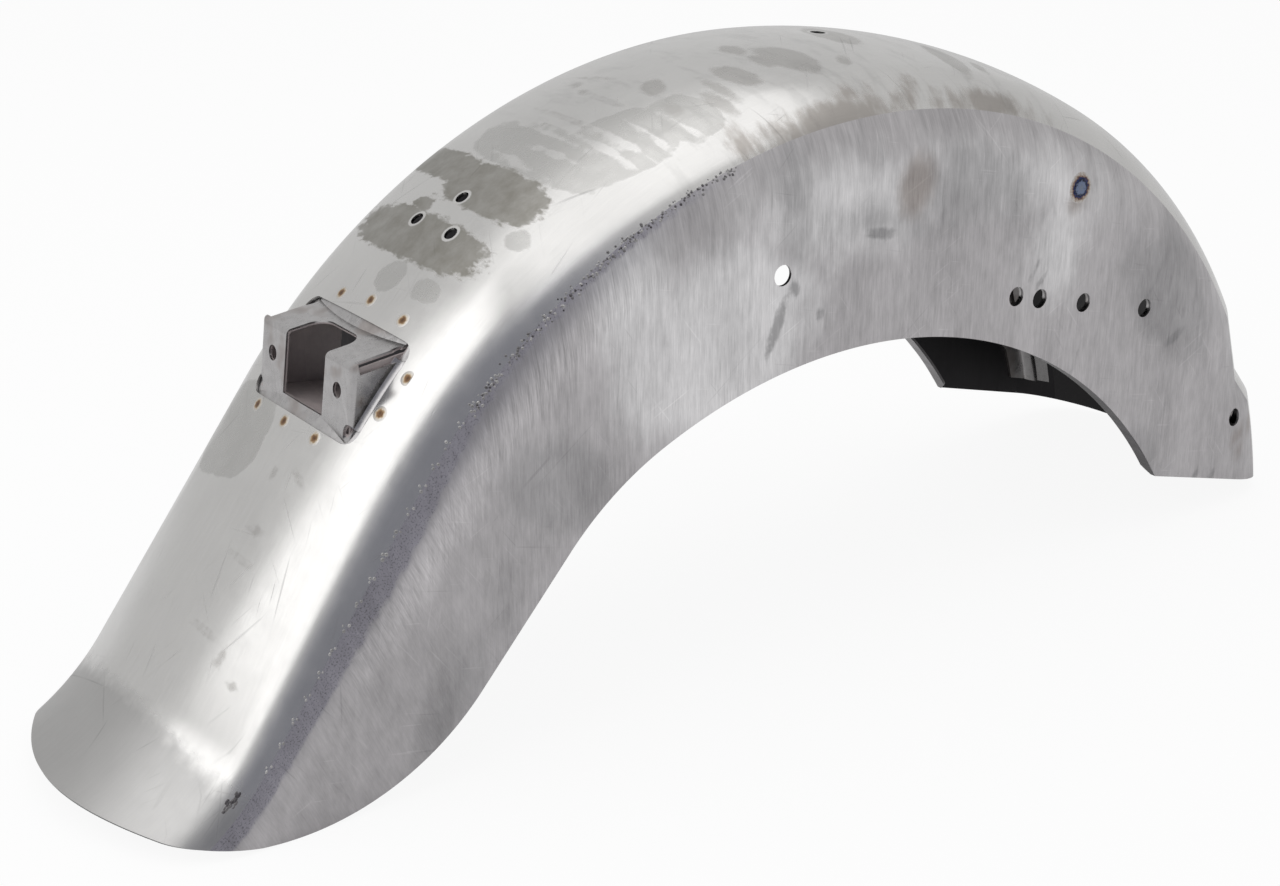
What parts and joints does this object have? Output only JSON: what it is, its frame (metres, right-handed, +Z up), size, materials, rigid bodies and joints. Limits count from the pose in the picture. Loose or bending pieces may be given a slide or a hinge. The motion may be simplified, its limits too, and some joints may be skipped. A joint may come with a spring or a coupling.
{
  "type": "motorcycle rear fender",
  "caption": "Bare steel motorcycle rear fender: arched crown with a flipped tail, skirts round the wheel, strut bolt holes and a welded-in tail light bracket.",
  "frame": {"origin": "middle of the footprint on the floor it stands on, in its resting attitude", "axes": "+X to the front of the motorcycle, +Y to its left, +Z up; bolted on, the fender is pitched nose up from here"},
  "size_m": [0.7554, 0.18, 0.2997],
  "materials": {
    "crown_steel": "bare, satin, stained",
    "skirt_steel": "bare, ground",
    "bracket_steel": "bare, satin"
  },
  "bodies": {
    "root": {"crown_panel": "crown_steel", "right_side_panel": "skirt_steel", "left_side_panel": "skirt_steel", "taillight_bracket": "bracket_steel", "right_front_bracket": "bracket_steel", "left_front_bracket": "bracket_steel", "right_strut_doubler": "bracket_steel", "left_strut_doubler": "bracket_steel"}
  },
  "joints": []
}
